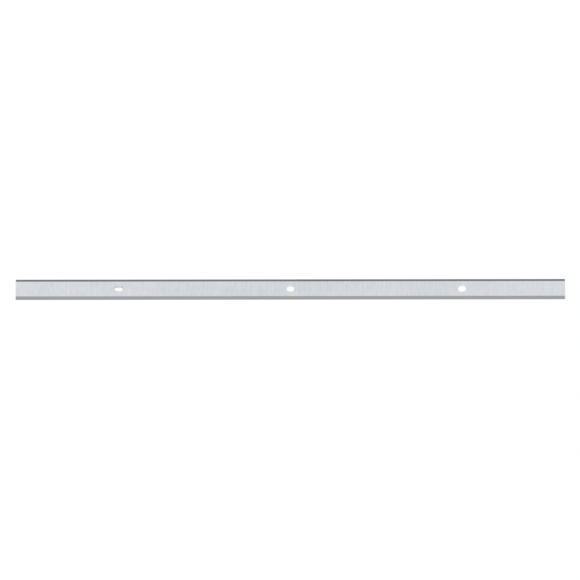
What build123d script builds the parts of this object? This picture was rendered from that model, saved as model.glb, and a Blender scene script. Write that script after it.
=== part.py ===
from build123d import *
import os

# Planer knife: one straight strip of hardened steel with a cutting edge along each side.
# X runs along the knife, Y across it and Z through its thickness.
# The flat back lies on Z = 0, and the origin is at its centre. All lengths are millimetres.

# Strip
blade_length = 320.0
blade_width = 12.4  # from one cutting edge to the other, over the flat back
blade_thickness = 1.5
corner_radius = 0.3  # the four corners of the outline, broken after grinding

# Bevels
edge_angle = 42.0  # degrees between the flat back and each bevel

# Locating slots, on the centre line: one at the middle and one to each side of it
slot_pitch = 100.0
middle_slot_length = 4.6
middle_slot_width = 3.5
wide_slot_length = 4.8  # the one towards +X
wide_slot_width = 3.8
narrow_slot_length = 5.1  # the one towards -X
narrow_slot_width = 2.8
slot_deburr = 0.1  # chamfer round every slot, on both faces

with BuildPart() as planer_knife:
    # Section: both bevels rise from a sharp edge at the back to the narrower front face
    with BuildSketch(Plane.YZ) as section:
        Trapezoid(blade_width, blade_thickness, edge_angle, align=(Align.CENTER, Align.MIN))
    extrude(amount=blade_length / 2, both=True)

    # Outline: the ends are square, with their corners broken
    with BuildSketch(Plane.XY) as outline:
        RectangleRounded(blade_length, blade_width, corner_radius)
    extrude(amount=blade_thickness, mode=Mode.INTERSECT)

    # Slots: both ends are half rounds, and the long axis follows the knife
    with BuildSketch(Plane.XY) as slots:
        SlotOverall(middle_slot_length, middle_slot_width)
        with Locations((slot_pitch, 0)):
            SlotOverall(wide_slot_length, wide_slot_width)
        with Locations((-slot_pitch, 0)):
            SlotOverall(narrow_slot_length, narrow_slot_width)
    extrude(amount=blade_thickness, mode=Mode.SUBTRACT)

    # Deburred rims, on the back and on the front face
    flat_faces = planer_knife.faces().filter_by(Plane.XY)
    slot_rims = [wire.edges() for face in flat_faces for wire in face.inner_wires()]
    chamfer(slot_rims, length=slot_deburr)

planer_knife.part.label = "planer_knife"

os.makedirs("parts", exist_ok=True)
export_step(planer_knife.part, "parts/planer_knife.step")
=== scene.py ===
"""Planer knife: a thin strip of ground steel with two cutting edges, on a white table.

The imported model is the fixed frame, with X along the knife, Y across it and Z up from its flat
back. This script builds the knife's skin on that frame, works its finishes as node materials and
sets the table, the lights and the camera. All lengths are in metres.
"""

import logging
import math
from collections.abc import Iterable, Sequence
from dataclasses import dataclass, field
from enum import Enum
from itertools import pairwise
from typing import Any

import bmesh
import bpy
from bmesh.types import BMesh, BMLayerItem, BMVert
from bpy.types import ID, Material, Node, NodeSocket, NodeTree, Object, World
from mathutils import Euler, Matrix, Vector


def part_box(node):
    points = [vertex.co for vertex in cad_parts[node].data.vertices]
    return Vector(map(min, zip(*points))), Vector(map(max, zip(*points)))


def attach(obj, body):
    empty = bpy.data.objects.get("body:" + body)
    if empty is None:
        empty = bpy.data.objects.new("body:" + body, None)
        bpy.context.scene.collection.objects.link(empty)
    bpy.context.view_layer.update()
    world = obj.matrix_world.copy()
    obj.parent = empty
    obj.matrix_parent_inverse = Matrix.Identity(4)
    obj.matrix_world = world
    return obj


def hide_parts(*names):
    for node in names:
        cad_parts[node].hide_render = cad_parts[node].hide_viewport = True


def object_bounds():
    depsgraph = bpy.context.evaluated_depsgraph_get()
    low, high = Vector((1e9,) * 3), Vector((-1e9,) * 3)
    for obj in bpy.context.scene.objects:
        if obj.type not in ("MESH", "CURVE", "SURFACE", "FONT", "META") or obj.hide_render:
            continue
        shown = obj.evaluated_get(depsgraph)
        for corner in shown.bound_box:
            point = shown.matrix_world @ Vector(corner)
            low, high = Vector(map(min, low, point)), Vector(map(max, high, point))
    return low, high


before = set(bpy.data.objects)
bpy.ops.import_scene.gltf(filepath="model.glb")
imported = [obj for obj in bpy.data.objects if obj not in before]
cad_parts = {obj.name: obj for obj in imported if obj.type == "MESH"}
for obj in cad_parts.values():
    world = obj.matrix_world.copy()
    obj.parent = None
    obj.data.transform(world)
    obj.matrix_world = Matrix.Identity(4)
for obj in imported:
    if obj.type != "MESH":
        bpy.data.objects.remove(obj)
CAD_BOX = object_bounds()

Colour = tuple[float, float, float]
SolidColour = tuple[float, float, float, float]  # a colour with its alpha
Place = tuple[float, float]  # on a section, an outline, the map or the picture
Point = tuple[float, float, float]
Opening = tuple[float, float]  # length and width
Span = tuple[float, float]  # from a start to an end

MM = 0.001
NODE = "planer_knife"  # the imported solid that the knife's mesh stands for
BODY = "root"  # the body that it rides on
BAKE_MAP = "OFBake"  # the map that the surface patterns are baked through
WHITE: Colour = (1.0, 1.0, 1.0)

log = logging.getLogger(NODE)


def opaque(colour: Colour) -> SolidColour:
    """Gives a colour its alpha of 1."""
    return (*colour, 1.0)


def grey(level: float) -> SolidColour:
    """Gives an opaque grey, from 0 for black to 1 for white."""
    return opaque((level, level, level))


def strides(points: Iterable[Sequence[float]]) -> list[float]:
    """Measures the way from each point to the next."""
    return [math.dist(*ends) for ends in pairwise(points)]


def tally(lengths: Sequence[float]) -> list[float]:
    """Adds lengths up one by one, from 0 to their total."""
    return [sum(lengths[:count]) for count in range(len(lengths) + 1)]


def put_in_scene(name: str, data: ID) -> Object:
    """Makes an object and puts it in the scene.

    Args:
        name: its name.
        data: its mesh, lamp or camera.

    Returns:
        The new object.
    """
    made = bpy.data.objects.new(name, data)
    bpy.context.scene.collection.objects.link(made)
    return made


class Lay(Enum):
    """The direction in which the tool left its lines on a surface."""

    ACROSS = "across the knife"
    ALONG = "along the knife"
    UP = "through the thickness"

    def spread(self, pitch: float, run: float) -> Vector:
        """Gives a pattern's scale on each axis.

        Args:
            pitch: distance from one line to the next.
            run: how far a line runs before it fades.

        Returns:
            Pattern units in a metre, along X, Y and Z.
        """
        close, far = 1 / pitch, 1 / run
        return {
            Lay.ACROSS: Vector((close, far, far)),
            Lay.ALONG: Vector((far, close, close)),
            Lay.UP: Vector((close, close, far)),
        }[self]

    @property
    def turn(self) -> float:
        """Turn of the highlight on the map, in whole turns, that sets it across the lines."""
        return 0.25 if self is Lay.ALONG else 0.0


class NodeSheet:
    """A node tree that is drawn one node at a time.

    Attributes:
        NOISE_RANGE: between which values a noise mostly lies.
        MIX_INPUTS: numbers of the Mix node's inputs for the share and the two colours.
        MIX_RESULT: number of its output for the mixed colour.
    """

    NOISE_RANGE: Span = (0.3, 0.7)
    MIX_INPUTS: tuple[int, int, int] = (0, 6, 7)
    MIX_RESULT: int = 2

    def __init__(self, tree: NodeTree) -> None:
        """Empties the tree.

        Args:
            tree: the tree of a material or of the world.
        """
        self.tree = tree
        self.tree.nodes.clear()

    def add(self, kind: str, settings: dict[str, Any] | None = None, **inputs: Any) -> Node:
        """Adds one node.

        Args:
            kind: the node's type, without the word ShaderNode.
            settings: properties of the node.
            **inputs: values or sockets for its inputs, with _ for each space in an input's name.

        Returns:
            The new node.
        """
        node = self.tree.nodes.new("ShaderNode" + kind)
        for name, value in (settings or {}).items():
            setattr(node, name, value)
        for name, value in inputs.items():
            self.feed(node.inputs[name.replace("_", " ")], value)
        return node

    def feed(self, socket: NodeSocket, value: Any) -> None:
        """Links a socket to an input, or sets the input's value.

        Args:
            socket: the input.
            value: another node's output, or a plain value.
        """
        if isinstance(value, NodeSocket):
            self.tree.links.new(value, socket)
        else:
            socket.default_value = value

    def work(self, operation: str, *terms: Any) -> NodeSocket:
        """Works with single numbers.

        Args:
            operation: the Math node's operation.
            *terms: numbers or sockets.

        Returns:
            The result's socket.
        """
        node = self.add("Math", {"operation": operation})
        for socket, term in zip(node.inputs, terms):
            self.feed(socket, term)
        return node.outputs[0]

    def between(self, noise: NodeSocket, low: float, high: float) -> NodeSocket:
        """Spreads a noise over a range of numbers.

        Args:
            noise: the noise.
            low: result at the noise's low end.
            high: result at its high end.

        Returns:
            The result's socket.
        """
        start, end = self.NOISE_RANGE
        node = self.add(
            "MapRange", Value=noise, From_Min=start, From_Max=end, To_Min=low, To_Max=high
        )
        return node.outputs[0]

    def blend(self, share: Any, first: Any, second: Any) -> NodeSocket:
        """Mixes two colours.

        Args:
            share: how much of the second colour there is, from 0 to 1.
            first: a colour or a socket.
            second: a colour or a socket.

        Returns:
            The result's socket.
        """
        node = self.add("Mix", {"data_type": "RGBA"})
        for number, value in zip(self.MIX_INPUTS, (share, first, second)):
            self.feed(node.inputs[number], value)
        return node.outputs[self.MIX_RESULT]

    def scaled(self, colour: NodeSocket, factor: NodeSocket) -> NodeSocket:
        """Lightens or darkens a colour.

        Args:
            colour: the colour.
            factor: what it is multiplied by.

        Returns:
            The result's socket.
        """
        node = self.add("VectorMath", {"operation": "SCALE"}, Scale=factor)
        self.feed(node.inputs[0], colour)
        return node.outputs[0]


@dataclass(frozen=True)
class Lines:
    """One set of tool lines.

    Attributes:
        lay: the direction in which they run.
        pitch: distance from one line to the next.
        run: how far a line runs before it fades.
        slant: turn of the lines about Z, in degrees.
        detail: how many finer sets lie within this one.
        fading: strength of each finer set, as a share of the one before it.
    """

    lay: Lay
    pitch: float
    run: float
    slant: float = 0.0
    detail: float = 2.0
    fading: float = 0.6

    def pattern(self, sheet: NodeSheet, where: NodeSocket) -> NodeSocket:
        """Draws the lines.

        Args:
            sheet: the material's nodes.
            where: coordinates on the knife.

        Returns:
            The height of the lines, about 0.5 at their mean.
        """
        turned = sheet.add("Mapping", Vector=where, Rotation=(0, 0, math.radians(self.slant)))
        drawn = sheet.add(
            "Mapping", Vector=turned.outputs[0], Scale=self.lay.spread(self.pitch, self.run)
        )
        noise = sheet.add(
            "TexNoise",
            Vector=drawn.outputs[0],
            Scale=1.0,
            Detail=self.detail,
            Roughness=self.fading,
        )
        return noise.outputs[0]


@dataclass(frozen=True)
class Beat:
    """The regular marks that the grinding wheel's beat left across the knife.

    Attributes:
        pitch: distance from one mark to the next.
        first: place of one mark along the knife.
        height: their height, as a share of the tool lines' height.
    """

    pitch: float
    first: float
    height: float

    def pattern(self, sheet: NodeSheet, where: NodeSocket) -> NodeSocket:
        """Draws the marks.

        Args:
            sheet: the material's nodes.
            where: coordinates on the knife.

        Returns:
            The height of the marks, 0 at their mean.
        """
        along = sheet.add("SeparateXYZ", Vector=where).outputs[0]
        past_first = sheet.work("SUBTRACT", along, self.first)
        turn = sheet.work("MULTIPLY", past_first, math.tau / self.pitch)
        return sheet.work("MULTIPLY", sheet.work("COSINE", turn), self.height)


@dataclass(frozen=True)
class Finish:
    """How one surface of the steel was worked, and how it looks for it; some colours carry painted
    shade and one carries painted light.

    Attributes:
        name: the material's name.
        colour: the steel's usual colour, with painted shade in some finishes and painted light in
            one.
        cast: the colour that it drifts to in broad patches.
        roughness: how matt it is, from 0 to 1.
        unevenness: how far the roughness strays along the lines.
        anisotropy: how far the lines draw a highlight out.
        fine: the closest lines, which can be felt.
        coarse: the wider lines, which are seen from afar.
        depth: height of the lines.
        contrast: how far the lines lighten and darken the colour.
        grazing: the share of each colour that is left at a grazing angle.
        patch: size of the broad patches.
        patch_detail: how many finer sets of patches lie within them.
        lighter_ends: how much lighter the knife's ends are than its middle.
        beat: regular marks among the tool's lines, if there are any.
        rubs: faint marks of handling over the tool's own lines, if there are any.
        rub_contrast: how far they lighten and darken the colour.
    """

    name: str
    colour: Colour
    cast: Colour
    roughness: float
    unevenness: float
    anisotropy: float
    fine: Lines
    coarse: Lines
    depth: float
    contrast: float
    grazing: Colour = WHITE
    patch: float = 35 * MM
    patch_detail: float = 3.0
    lighter_ends: float = 0.0
    beat: Beat | None = None
    rubs: Lines | None = None
    rub_contrast: float = 0.015

    def relief(self, sheet: NodeSheet, where: NodeSocket) -> NodeSocket:
        """Works out the height of the tool's lines.

        Args:
            sheet: the material's nodes.
            where: coordinates on the knife.

        Returns:
            The mean of the fine and the coarse lines, with the regular marks added to it.
        """
        fine = self.fine.pattern(sheet, where)
        coarse = self.coarse.pattern(sheet, where)
        height = sheet.work("MULTIPLY", sheet.work("ADD", fine, coarse), 0.5)
        if self.beat:
            height = sheet.work("ADD", height, self.beat.pattern(sheet, where))
        return height

    def tone(self, sheet: NodeSheet, where: NodeSocket, height: NodeSocket) -> NodeSocket:
        """Works out the colour.

        Args:
            sheet: the material's nodes.
            where: coordinates on the knife.
            height: the height of the lines.

        Returns:
            The colour's socket.
        """
        patches = sheet.add(
            "TexNoise", Vector=where, Scale=1 / self.patch, Detail=self.patch_detail
        )
        share = sheet.between(patches.outputs[0], 0, 1)
        colour = sheet.blend(share, opaque(self.colour), opaque(self.cast))
        light = sheet.between(height, 1 - self.contrast, 1 + self.contrast)
        if self.lighter_ends:
            low, high = CAD_BOX
            along = sheet.add("SeparateXYZ", Vector=where).outputs[0]
            to_end = sheet.work("MULTIPLY", along, 2 / (high[0] - low[0]))
            lift = sheet.work("MULTIPLY", sheet.work("MULTIPLY", to_end, to_end), self.lighter_ends)
            light = sheet.work("ADD", light, lift)
        if self.rubs:
            rubs = self.rubs.pattern(sheet, where)
            marks = sheet.between(rubs, -self.rub_contrast, self.rub_contrast)
            light = sheet.work("ADD", light, marks)
        return sheet.scaled(colour, light)

    def material(self) -> Material:
        """Makes the material, with its colour, its roughness and its relief from the same lines.

        Returns:
            The new material.
        """
        made = bpy.data.materials.new(self.name)
        made.use_nodes = True
        sheet = NodeSheet(made.node_tree)
        where = sheet.add("TexCoord").outputs["Object"]
        height = self.relief(sheet, where)
        bumps = sheet.add("Bump", Height=height, Strength=1.0, Distance=self.depth)
        map_lines = sheet.add("Tangent", {"direction_type": "UV_MAP", "uv_map": BAKE_MAP})
        steel = sheet.add(
            "BsdfPrincipled",
            Base_Color=self.tone(sheet, where, height),
            Metallic=1.0,
            Roughness=sheet.between(
                height, self.roughness - self.unevenness, self.roughness + self.unevenness
            ),
            Specular_Tint=opaque(self.grazing),
            Anisotropic=self.anisotropy,
            Anisotropic_Rotation=self.coarse.lay.turn,
            Tangent=map_lines.outputs[0],
            Normal=bumps.outputs[0],
        )
        sheet.add("OutputMaterial", Surface=steel.outputs[0])
        return made


class SteelFinish(Enum):
    """The finishes on the knife, in the order of their slots on the mesh."""

    FACE = Finish(
        name="ground_face",
        colour=(0.636, 0.656, 0.682),
        cast=(0.674, 0.696, 0.738),
        roughness=0.36,
        unevenness=0.05,
        anisotropy=0.5,
        fine=Lines(Lay.ACROSS, pitch=0.2 * MM, run=6 * MM, slant=1.5),
        coarse=Lines(Lay.ACROSS, pitch=1.1 * MM, run=4.5 * MM, slant=0.6, detail=3.0),
        depth=0.003 * MM,
        contrast=0.105,
        lighter_ends=0.045,
        beat=Beat(pitch=2.826 * MM, first=1.13 * MM, height=0.012),
        rubs=Lines(Lay.ALONG, pitch=1.6 * MM, run=60 * MM),
    )
    # Painted shade: the bevels' colour and cast are darkened, and their grazing colour is darkened
    # and tinted green, to stand in for the darker surroundings that a bevel reflects.
    BEVEL = Finish(
        name="ground_bevel_painted_shade",
        colour=(0.234, 0.242, 0.256),
        cast=(0.242, 0.246, 0.268),
        roughness=0.4,
        unevenness=0.05,
        anisotropy=0.4,
        fine=Lines(Lay.ALONG, pitch=0.06 * MM, run=12 * MM),
        coarse=Lines(Lay.ALONG, pitch=0.3 * MM, run=30 * MM),
        depth=0.001 * MM,
        contrast=0.1,
        grazing=(0.03, 0.13, 0.11),
    )
    # Painted shade: the arris is darkened towards the bevels' colour, so that the bevels' painted
    # shade runs over it.
    ARRIS = Finish(
        name="stoned_arris_painted_shade",
        colour=(0.33, 0.34, 0.355),
        cast=(0.36, 0.37, 0.385),
        roughness=0.3,
        unevenness=0.05,
        anisotropy=0.0,
        fine=Lines(Lay.ALONG, pitch=0.05 * MM, run=3 * MM),
        coarse=Lines(Lay.ALONG, pitch=0.2 * MM, run=9 * MM),
        depth=0.0005 * MM,
        contrast=0.1,
    )
    DEBURR = Finish(
        name="brushed_deburr",
        colour=(0.61, 0.63, 0.655),
        cast=(0.64, 0.66, 0.69),
        roughness=0.35,
        unevenness=0.05,
        anisotropy=0.0,
        fine=Lines(Lay.ALONG, pitch=0.05 * MM, run=3 * MM),
        coarse=Lines(Lay.ALONG, pitch=0.2 * MM, run=9 * MM),
        depth=0.0005 * MM,
        contrast=0.1,
    )
    END = Finish(
        name="cut_end",
        colour=(0.42, 0.43, 0.45),
        cast=(0.46, 0.47, 0.49),
        roughness=0.45,
        unevenness=0.08,
        anisotropy=0.2,
        fine=Lines(Lay.UP, pitch=0.08 * MM, run=2 * MM),
        coarse=Lines(Lay.UP, pitch=0.5 * MM, run=4 * MM),
        depth=0.003 * MM,
        contrast=0.22,
    )
    # Painted light: the wall of the middle and the +X slot is lighter than the face's steel, for
    # the light that shows in these slots.
    WIDE_WALL = Finish(
        name="slot_wall_painted_light",
        colour=(0.74, 0.75, 0.77),
        cast=(0.70, 0.71, 0.74),
        roughness=0.3,
        unevenness=0.05,
        anisotropy=0.0,
        fine=Lines(Lay.UP, pitch=0.06 * MM, run=2 * MM),
        coarse=Lines(Lay.UP, pitch=0.3 * MM, run=3 * MM),
        depth=0.001 * MM,
        contrast=0.1,
    )
    # Painted shade: the narrow slot's wall is darkened for the shade that falls in that slot,
    # while the other slots' walls carry painted light.
    NARROW_WALL = Finish(
        name="slot_wall_painted_shade",
        colour=(0.25, 0.26, 0.28),
        cast=(0.30, 0.31, 0.33),
        roughness=0.5,
        unevenness=0.1,
        anisotropy=0.0,
        fine=Lines(Lay.UP, pitch=0.08 * MM, run=2 * MM),
        coarse=Lines(Lay.UP, pitch=0.4 * MM, run=3 * MM),
        depth=0.003 * MM,
        contrast=0.25,
    )

    @property
    def slot(self) -> int:
        """The number of this finish's slot on the mesh."""
        return list(SteelFinish).index(self)


@dataclass(frozen=True)
class Slot:
    """A locating slot: a short opening through the strip, along the knife.

    Attributes:
        centre: its place along the knife.
        length: from one rounded end to the other.
        width: across the knife.
        finish: its wall's finish, with painted shade in the narrow slot's wall and painted light
            in the other two.
        deburr: chamfer round its rims.
        frame_half: half the length of the patch of mesh that frames it.
        corner_steps: faces round half of a quarter turn.
    """

    centre: float
    length: float
    width: float
    finish: SteelFinish
    deburr: float = 0.1 * MM
    frame_half: float = 5 * MM
    corner_steps: int = 7

    @property
    def side_steps(self) -> int:
        """Faces along each side of the frame: two corners and the two halves of the straight."""
        return 2 * self.corner_steps + 2

    def outline(self, grow: float) -> list[Place]:
        """Draws the slot from above, against the clock from its lower right corner.

        Args:
            grow: how far the outline lies outside the wall.

        Returns:
            Points round the slot, with as many to each quarter as a side of the frame has.
        """
        steps = self.corner_steps
        straight = (self.length - self.width) / 2
        radius = self.width / 2 + grow
        right = [math.pi * (step / self.side_steps - 0.5) / 2 for step in range(self.side_steps)]
        top_right = [math.pi * (1 + step / steps) / 4 for step in range(steps + 1)]
        top_left = [math.pi * step / steps / 4 for step in range(steps)]
        points = [
            (straight + radius * math.cos(turn), radius * math.sin(turn))
            for turn in right + top_right
        ]
        points.append((0.0, radius))
        points += [
            (-straight - radius * math.sin(turn), radius * math.cos(turn)) for turn in top_left
        ]
        half = [(self.centre + x, y) for x, y in points]
        return half + [(2 * self.centre - x, -y) for x, y in half]

    def frame_stops(self) -> list[float]:
        """Gives the places along the knife where the frame's patch of mesh is cut."""
        return [
            self.centre + self.frame_half * (2 * step / self.side_steps - 1)
            for step in range(self.side_steps + 1)
        ]

    def frame(self, across: Sequence[float]) -> list[Place]:
        """Draws the frame, in step with the outline.

        Args:
            across: the mesh's lines across the flat face, from -Y to +Y.

        Returns:
            Points round the frame, against the clock from its lower right corner.
        """
        along = self.frame_stops()
        half = [(along[-1], y) for y in across[:-1]] + [(x, across[-1]) for x in along[:0:-1]]
        return half + [(2 * self.centre - x, -y) for x, y in half]

    def frames(self, x: float) -> bool:
        """Tells whether a place along the knife lies within the frame."""
        return abs(x - self.centre) < self.frame_half


@dataclass
class MapSheet:
    """The flat sheet on which the knife's surface is laid out for its textures.

    The knife's length is cut into rows, which lie one above another. Each row holds the surface
    all the way round the section. A band above them holds the slots' walls and the ends.

    Attributes:
        length: the knife's length.
        round: length round the section.
        rows: how many rows the length is cut into.
        band: height of the band.
        gap: room between one island and the next.
        used: how much of the band's length is taken.
    """

    length: float
    round: float
    rows: int = 3
    band: float = 1.8 * MM
    gap: float = 0.6 * MM
    used: float = 0.0

    @property
    def row_length(self) -> float:
        """Length of one row."""
        return self.length / self.rows

    @property
    def row_height(self) -> float:
        """Height of one row, with its gap."""
        return self.round + self.gap

    def row_of(self, x: float) -> int:
        """Finds the row that holds a place along the knife."""
        return min(self.rows - 1, max(0, int((x + self.length / 2) / self.row_length)))

    def breaks(self) -> list[float]:
        """Gives the places along the knife where one row ends and the next begins."""
        return [self.row_length * row - self.length / 2 for row in range(1, self.rows)]

    def spot(self, right: float, up: float) -> Place:
        """Turns a place on the sheet from metres into shares of the sheet.

        Args:
            right: its distance from the left of the first islands.
            up: its distance from the bottom of the first row.

        Returns:
            The point on the map, from 0 to 1 each way.
        """
        wide = self.row_length + self.gap
        high = self.rows * self.row_height + self.band + self.gap
        return (right + self.gap / 2) / wide, (up + self.gap / 2) / high

    def on_row(self, row: int, x: float, around: float) -> Place:
        """Places a point of the strip's surface.

        Args:
            row: the row that holds its face.
            x: its place along the knife.
            around: its place round the section.

        Returns:
            The point on the map.
        """
        start = self.row_length * row - self.length / 2
        return self.spot(x - start, row * self.row_height + around)

    def on_band(self, right: float, up: float) -> Place:
        """Places a point in the band above the rows."""
        return self.spot(right, self.rows * self.row_height + up)

    def take(self, length: float) -> float:
        """Takes a stretch of the band.

        Args:
            length: how long it is.

        Returns:
            Where it starts.
        """
        start = self.used
        self.used += length + self.gap
        return start


@dataclass
class KnifeStrip:
    """The knife itself: one strip with two bevels, two cutting edges and its slots.

    Attributes:
        edge_angle: between the flat back and each bevel, in degrees.
        corner_radius: the four corners of the outline.
        arris_radius: the edge between a bevel and the front face.
        end_break: the edges round each end.
        slot_pitch: from one slot's centre to the next.
        narrow_slot: length and width of the slot towards -X.
        middle_slot: length and width of the slot at the middle.
        wide_slot: length and width of the slot towards +X.
        arris_steps: faces round an arris.
        corner_steps: faces round a corner.
        longest: the most that a face measures along the knife.
        ring_share: where the mesh round a slot is cut, from its rim to its frame.
        crease: the least angle between two faces that shows as an edge, in degrees.
        weld: corners that are closer together than this share a vertex.
    """

    edge_angle: float = 42.0
    corner_radius: float = 0.3 * MM
    arris_radius: float = 0.08 * MM
    end_break: float = 0.04 * MM
    slot_pitch: float = 100 * MM
    narrow_slot: Opening = (5.1 * MM, 2.8 * MM)
    middle_slot: Opening = (4.6 * MM, 3.5 * MM)
    wide_slot: Opening = (4.8 * MM, 3.8 * MM)
    arris_steps: int = 3
    corner_steps: int = 4
    longest: float = 8 * MM
    ring_share: float = 0.35
    crease: float = 30.0
    weld: float = 0.00001 * MM

    def __post_init__(self) -> None:
        """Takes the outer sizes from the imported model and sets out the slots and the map."""
        low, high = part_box(NODE)
        self.length, self.width, self.thickness = high - low
        self.slots: list[Slot] = [
            Slot(-self.slot_pitch, *self.narrow_slot, SteelFinish.NARROW_WALL),
            Slot(0.0, *self.middle_slot, SteelFinish.WIDE_WALL),
            Slot(self.slot_pitch, *self.wide_slot, SteelFinish.WIDE_WALL),
        ]
        self.mesh: BMesh = bmesh.new()
        self.map: BMLayerItem = self.mesh.loops.layers.uv.new(BAKE_MAP)
        self.corners: dict[tuple[int, ...], BMVert] = {}
        section = self.section(0.0)
        self.around: list[float] = tally(strides([*section, section[0]]))
        self.sheet: MapSheet = MapSheet(self.length, self.around[-1])

    @property
    def slope(self) -> float:
        """The bevels' rise over their run."""
        return math.tan(math.radians(self.edge_angle))

    @property
    def flat_steps(self) -> int:
        """Faces across each flat face, as many as the slots' frames have along a side."""
        return self.slots[0].side_steps

    @property
    def side_steps(self) -> int:
        """Faces across each side: the land, the bevel and the arris."""
        return self.arris_steps + 2

    @property
    def surfaces(self) -> list[SteelFinish]:
        """The strips of faces round the section.

        Returns:
            The finish of each strip, in the order of the section's points.
        """
        side = [SteelFinish.BEVEL] * 2 + [SteelFinish.ARRIS] * self.arris_steps
        flat = [SteelFinish.FACE] * self.flat_steps
        return side + flat + side[::-1] + flat

    def half_width(self, x: float) -> float:
        """Gives the distance from the centre line to a cutting edge.

        Args:
            x: the place along the knife.

        Returns:
            The distance, which is less at the broken corners.
        """
        into = max(0.0, abs(x) - (self.length / 2 - self.corner_radius))
        left = math.sqrt(max(0.0, self.corner_radius**2 - into**2))
        return self.width / 2 - self.corner_radius + left

    def arris(self) -> list[Place]:
        """Draws the rounded edge between the +Y bevel and the front face.

        Returns:
            Points across and up, from the bevel to the front face.
        """
        radius = self.arris_radius
        turn = math.radians(self.edge_angle)
        sharp = self.width / 2 - self.thickness / self.slope
        across = sharp - radius * math.tan(turn / 2)
        up = self.thickness - radius
        angles = [
            math.pi / 2 - turn * (1 - step / self.arris_steps)
            for step in range(self.arris_steps + 1)
        ]
        return [
            (across + radius * math.cos(angle), up + radius * math.sin(angle)) for angle in angles
        ]

    def lines_across(self, half: float) -> list[float]:
        """Cuts a flat face into its lines across.

        Args:
            half: half the width of the face.

        Returns:
            The lines, from -Y to +Y.
        """
        return [half * (2 * step / self.flat_steps - 1) for step in range(self.flat_steps + 1)]

    def section(self, x: float) -> list[Place]:
        """Draws the section all the way round.

        Args:
            x: its place along the knife.

        Returns:
            Points across and up, from the cutting edge at -Y over the front face and along the
            back.
        """
        half = self.half_width(x)
        land = (self.width / 2 - half) * self.slope
        rise = [(half, 0.0), (half, land), *self.arris()]
        front = [(y, self.thickness) for y in self.lines_across(rise[-1][0])[1:-1]]
        back = [(y, 0.0) for y in self.lines_across(half)[-2:0:-1]]
        return [(-y, up) for y, up in rise] + front + rise[::-1] + back

    def stations(self) -> list[float]:
        """Sets out the sections that the knife's skin is drawn through.

        Returns:
            Their places along the knife, from -X to +X.
        """
        start = self.length / 2 - self.corner_radius
        sweep = math.asin(1 - self.end_break / self.corner_radius)
        corner = [
            start + self.corner_radius * math.sin(sweep * step / self.corner_steps)
            for step in range(self.corner_steps + 1)
        ]
        frames = [x for slot in self.slots for x in slot.frame_stops()]
        marks = sorted([-x for x in corner] + self.sheet.breaks() + frames + corner)
        stops = [marks[0]]
        for low, high in pairwise(marks):
            count = math.ceil((high - low) / self.longest)
            stops += [low + (high - low) * step / count for step in range(1, count + 1)]
        return stops

    def vertex(self, point: Point) -> BMVert:
        """Finds the vertex at a point, or adds it.

        Args:
            point: its place along the knife, across it and up.

        Returns:
            The vertex.
        """
        key = tuple(round(value / self.weld) for value in point)
        if key not in self.corners:
            self.corners[key] = self.mesh.verts.new(point)
        return self.corners[key]

    def face(
        self,
        corners: Iterable[Point],
        places: Iterable[Place],
        finish: SteelFinish,
        smooth: bool = False,
    ) -> None:
        """Adds one face, without the corners that have come together at a cutting edge.

        Args:
            corners: its corners.
            places: where its corners lie on the map.
            finish: how it was worked.
            smooth: whether it is part of a round surface.
        """
        spots = dict(zip(map(self.vertex, corners), places))
        if len(spots) < 3:
            return
        made = self.mesh.faces.new(spots)
        made.material_index = finish.slot
        made.smooth = smooth
        for loop, place in zip(made.loops, spots.values()):
            loop[self.map].uv = place

    def unroll(self, ring: Sequence[Point]) -> list[Span]:
        """Lays one section out flat, true to its lengths, as the map shows it.

        Both sides hang on the front face, and the back is laid about its centre line.

        Args:
            ring: the section's points.

        Returns:
            Where each strip of faces starts and ends round the section.
        """
        run = strides([*ring, ring[0]])
        back = 2 * self.side_steps + self.flat_steps
        first = self.around[self.side_steps] - sum(run[: self.side_steps])
        first_back = (self.around[back] + self.around[-1] - sum(run[back:])) / 2
        starts = [first + sum(run[:at]) for at in range(back)]
        starts += [first_back + sum(run[back:at]) for at in range(back, len(run))]
        return [(start, start + length) for start, length in zip(starts, run)]

    def build_skin(self, xs: Sequence[float]) -> None:
        """Covers the strip from its first section to its last, but for the slots' frames.

        Args:
            xs: the sections' places along the knife.
        """
        rings = [[(x, *point) for point in self.section(x)] for x in xs]
        count = len(rings[0])
        for (x0, ring0), (x1, ring1) in pairwise(zip(xs, rings)):
            middle = (x0 + x1) / 2
            row = self.sheet.row_of(middle)
            framed = any(slot.frames(middle) for slot in self.slots)
            strips = zip(self.surfaces, self.unroll(ring0), self.unroll(ring1))
            for at, (finish, (from0, to0), (from1, to1)) in enumerate(strips):
                if framed and finish is SteelFinish.FACE:
                    continue
                after = (at + 1) % count
                corners = (ring0[at], ring0[after], ring1[after], ring1[at])
                spots = ((x0, from0), (x0, to0), (x1, to1), (x1, from1))
                places = [self.sheet.on_row(row, *spot) for spot in spots]
                self.face(corners, places, finish, smooth=finish is SteelFinish.ARRIS)

    def build_flat(self, slot: Slot, front: bool) -> None:
        """Fills a slot's frame on one flat face, from the slot's rim outwards.

        Args:
            slot: the slot.
            front: whether it is the front face, and not the back.
        """
        up = self.thickness if front else 0.0
        half = self.arris()[-1][0] if front else self.width / 2
        rim = slot.outline(slot.deburr)
        outer = slot.frame(self.lines_across(half))
        between = [
            (x0 + (x1 - x0) * self.ring_share, y0 + (y1 - y0) * self.ring_share)
            for (x0, y0), (x1, y1) in zip(rim, outer)
        ]
        steps = slot.side_steps
        start = self.around[self.side_steps] if front else self.around[-1]
        sign = 1 if front else -1
        row = self.sheet.row_of(slot.centre)
        for inner, ring in pairwise((rim, between, outer)):
            for at in range(4 * steps):
                after = (at + 1) % (4 * steps)
                points = (inner[at], inner[after], ring[after], ring[at])
                places = [self.sheet.on_row(row, x, start + sign * (y + half)) for x, y in points]
                self.face([(x, y, up) for x, y in points], places, SteelFinish.FACE)

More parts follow.
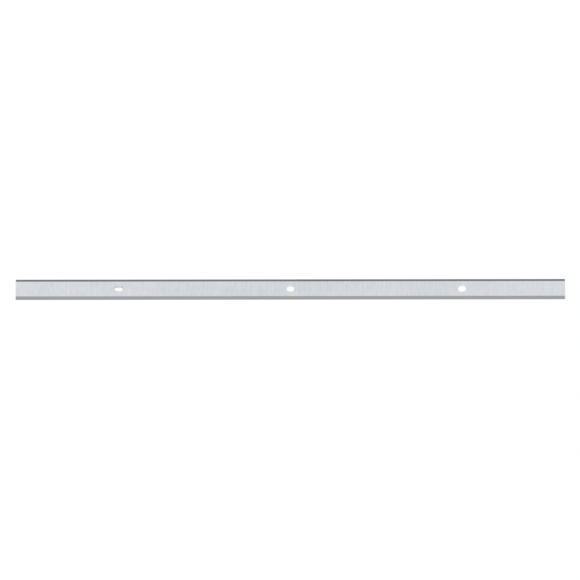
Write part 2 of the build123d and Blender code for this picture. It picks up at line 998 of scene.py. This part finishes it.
    def build_wall(self, slot: Slot) -> None:
        """Adds one slot's wall, with the chamfers round its rims.

        Args:
            slot: the slot.
        """
        levels = [
            (0.0, slot.deburr),
            (slot.deburr, 0.0),
            (self.thickness - slot.deburr, 0.0),
            (self.thickness, slot.deburr),
        ]
        finishes = [SteelFinish.DEBURR, slot.finish, SteelFinish.DEBURR]
        wall = slot.outline(0.0)
        along = tally(strides([*wall, wall[0]]))
        rise = tally(strides(levels))
        right = self.sheet.take(along[-1]) + along[-1]
        for level, finish in enumerate(finishes):
            (low, low_grow), (high, high_grow) = levels[level], levels[level + 1]
            lower, upper = slot.outline(low_grow), slot.outline(high_grow)
            for at in range(len(wall)):
                after = (at + 1) % len(wall)
                corners = (
                    (*lower[at], low),
                    (*lower[after], low),
                    (*upper[after], high),
                    (*upper[at], high),
                )
                spots = ((at, level), (at + 1, level), (at + 1, level + 1), (at, level + 1))
                places = [self.sheet.on_band(right - along[n], rise[m]) for n, m in spots]
                self.face(corners, places, finish, smooth=True)

    def build_end(self, side: int) -> None:
        """Closes one end of the strip.

        Args:
            side: 1 for the end at +X and -1 for the end at -X.
        """
        last, x = side * (self.length / 2 - self.end_break), side * self.length / 2
        outer = self.section(last)
        narrow = 1 - self.end_break / self.half_width(x)
        thin = 1 - 2 * self.end_break / self.thickness
        middle = self.thickness / 2
        inner = [(y * narrow, middle + (up - middle) * thin) for y, up in self.section(x)]
        centre = self.sheet.take(self.width) + self.width / 2

        def cover(points: Sequence[Point]) -> None:
            """Adds one face of the end, laid on the map as it is seen from outside."""
            places = [self.sheet.on_band(centre + side * y, up) for _, y, up in points]
            self.face(points, places, SteelFinish.END)

        count = len(inner)
        for at in range(count):
            after = (at + 1) % count
            cover([(last, *outer[at]), (last, *outer[after]), (x, *inner[after]), (x, *inner[at])])
        cap = [(x, *point) for point in inner]
        front_from, front_to = self.side_steps, self.side_steps + self.flat_steps
        front = cap[front_from : front_to + 1]
        back = [cap[0], *cap[: -self.flat_steps - 1 : -1]]
        for (a, b), (c, d) in zip(pairwise(front), pairwise(back)):
            cover([a, b, d, c])
        cover(cap[: front_from + 1])
        cover(cap[front_to : front_to + self.side_steps + 1])

    def build(self) -> Object:
        """Builds the whole strip and hands it to the frame.

        Returns:
            The finished piece.
        """
        self.build_skin(self.stations())
        for slot in self.slots:
            self.build_flat(slot, front=True)
            self.build_flat(slot, front=False)
            self.build_wall(slot)
        self.build_end(-1)
        self.build_end(1)
        bmesh.ops.recalc_face_normals(self.mesh, faces=self.mesh.faces)
        for edge in self.mesh.edges:
            edge.smooth = edge.calc_face_angle() < math.radians(self.crease)

        data = bpy.data.meshes.new("knife_strip")
        self.mesh.to_mesh(data)
        self.mesh.free()
        for finish in SteelFinish:
            data.materials.append(finish.value.material())
        piece = put_in_scene("knife_strip", data)
        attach(piece, BODY)
        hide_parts(NODE)
        return piece


@dataclass(frozen=True)
class Softbox:
    """A large soft lamp that faces the knife.

    Attributes:
        name: what the lamp is for.
        azimuth: where it stands, in degrees, from -Y towards +X.
        elevation: its height above the table, in degrees.
        distance: from the knife.
        width: across.
        height: up.
        power: in watts.
    """

    name: str
    azimuth: float
    elevation: float
    distance: float
    width: float
    height: float
    power: float

    def build(self) -> Object:
        """Hangs the lamp and turns it to the knife.

        Returns:
            The lamp.
        """
        lamp = bpy.data.lights.new(self.name, "AREA")
        lamp.shape = "RECTANGLE"
        lamp.size, lamp.size_y = self.width, self.height
        lamp.energy = self.power
        hung = put_in_scene(self.name, lamp)
        around, up = math.radians(self.azimuth), math.radians(self.elevation)
        towards = Vector(
            (math.sin(around) * math.cos(up), -math.cos(around) * math.cos(up), math.sin(up))
        )
        hung.location = towards * self.distance
        hung.rotation_euler = towards.to_track_quat("Z", "Y").to_euler()
        return hung


@dataclass
class Studio:
    """A white table in even, soft light.

    Attributes:
        table_side: side of the square table top.
        table_white: its colour, as its light falls on the knife.
        table_shading: its colour under the lights, as it is seen.
        table_glow: the white that it keeps in shade, as it is seen.
        sky: the light from all round.
        lamps: the softboxes.
    """

    table_side: float = 40.0
    table_white: float = 0.9
    table_shading: float = 0.12
    table_glow: float = 0.9
    sky: float = 0.95
    lamps: list[Softbox] = field(
        default_factory=lambda: [
            Softbox(
                name="front_softbox",
                azimuth=0,
                elevation=26,
                distance=3.0,
                width=2.0,
                height=0.8,
                power=9.0,
            )
        ]
    )

    @staticmethod
    def two_ways(sheet: NodeSheet, lit: Node, shown: Node) -> NodeSocket:
        """Parts the rays that show a surface from those that only carry its light.

        Args:
            sheet: the nodes.
            lit: the shader whose light falls on the knife.
            shown: the shader for the camera, for reflections and for clear materials.

        Returns:
            The socket of both shaders together.
        """
        path = sheet.add("LightPath").outputs
        seen = sheet.work("MAXIMUM", path["Is Camera Ray"], path["Is Glossy Ray"])
        either = sheet.add(
            "MixShader", Fac=sheet.work("MAXIMUM", seen, path["Is Transmission Ray"])
        )
        sheet.feed(either.inputs[1], lit.outputs[0])
        sheet.feed(either.inputs[2], shown.outputs[0])
        return either.outputs[0]

    def build_table(self) -> Object:
        """Lays the table top under the knife.

        Returns:
            The table.
        """
        half = self.table_side / 2
        data = bpy.data.meshes.new("table_top")
        corners = [(-half, -half, 0), (half, -half, 0), (half, half, 0), (-half, half, 0)]
        data.from_pydata(corners, [], [(0, 1, 2, 3)])
        table = put_in_scene("table_top", data)
        white = bpy.data.materials.new("white_table")
        white.use_nodes = True
        sheet = NodeSheet(white.node_tree)
        plain = sheet.add("BsdfDiffuse", Color=grey(self.table_white))
        shaded = sheet.add("BsdfDiffuse", Color=grey(self.table_shading))
        glow = sheet.add("Emission", Color=opaque(WHITE), Strength=self.table_glow)
        shown = sheet.add("AddShader")
        sheet.feed(shown.inputs[0], shaded.outputs[0])
        sheet.feed(shown.inputs[1], glow.outputs[0])
        sheet.add("OutputMaterial", Surface=self.two_ways(sheet, plain, shown))
        data.materials.append(white)
        return table

    def build_sky(self) -> World:
        """Surrounds the table with even white light.

        Returns:
            The world.
        """
        world = bpy.data.worlds.new("white_room")
        world.use_nodes = True
        sheet = NodeSheet(world.node_tree)
        lit = sheet.add("Background", Color=opaque(WHITE), Strength=self.sky)
        shown = sheet.add("Background", Color=opaque(WHITE), Strength=1.0)
        sheet.add("OutputWorld", Surface=self.two_ways(sheet, lit, shown))
        bpy.context.scene.world = world
        return world

    def build(self) -> list[ID]:
        """Builds the whole studio.

        Returns:
            The table, the sky and the lamps.
        """
        table = self.build_table()
        sky = self.build_sky()
        return [table, sky, *(lamp.build() for lamp in self.lamps)]


@dataclass
class PhotoCamera:
    """The camera, where the photograph was taken from.

    Attributes:
        picture: side of the square picture, in pixels.
        knife_long: the knife's length in the picture, in pixels.
        centre: the middle of the knife's outline in the picture, in pixels.
        elevation: height above the table, in degrees.
        roll: turn of the picture, in degrees, that puts the knife's left end lower.
        lens: focal length, in millimetres.
        sight: how far it sees, as a multiple of its distance from the knife.
    """

    picture: float = 580.0
    knife_long: float = 549.2
    centre: Place = (290.36, 289.5)
    elevation: float = 72.0
    roll: float = 0.078
    lens: float = 600.0
    sight: float = 10.0

    def build(self, knife: KnifeStrip) -> Object:
        """Sets the camera up and makes it the scene's own.

        Args:
            knife: the knife that it looks at.

        Returns:
            The camera.
        """
        data = bpy.data.cameras.new("photo_camera")
        data.lens = self.lens
        pixel = knife.length / self.knife_long
        tilt = math.radians(90 - self.elevation)
        roll = math.radians(-self.roll)
        turn = Euler((tilt, 0, 0)).to_quaternion() @ Euler((0, 0, roll)).to_quaternion()
        middle = self.picture / 2
        right = (middle - self.centre[0]) * pixel
        up = (self.centre[1] - middle) * pixel
        aim = Vector((right, up / math.cos(tilt), 0))
        distance = self.picture * pixel / data.sensor_width * data.lens
        camera = put_in_scene("photo_camera", data)
        camera.rotation_mode = "QUATERNION"
        camera.rotation_quaternion = turn
        camera.location = aim + turn @ Vector((0, 0, distance))
        data.clip_end = self.sight * distance
        bpy.context.scene.camera = camera
        return camera


def main() -> None:
    """Builds the knife, the studio and the camera, in that order, and reports each piece."""
    logging.basicConfig(level=logging.INFO, format="%(message)s")
    knife = KnifeStrip()
    strip = knife.build()
    log.info("%s: %d faces, %d slots", strip.name, len(strip.data.polygons), len(knife.slots))
    for thing in Studio().build():
        log.info("%s: in place", thing.name)
    camera = PhotoCamera().build(knife)
    log.info("%s: %.2f m from the knife", camera.name, camera.location.length)
    bpy.context.scene.view_settings.view_transform = "Standard"


if __name__ == "__main__":
    main()
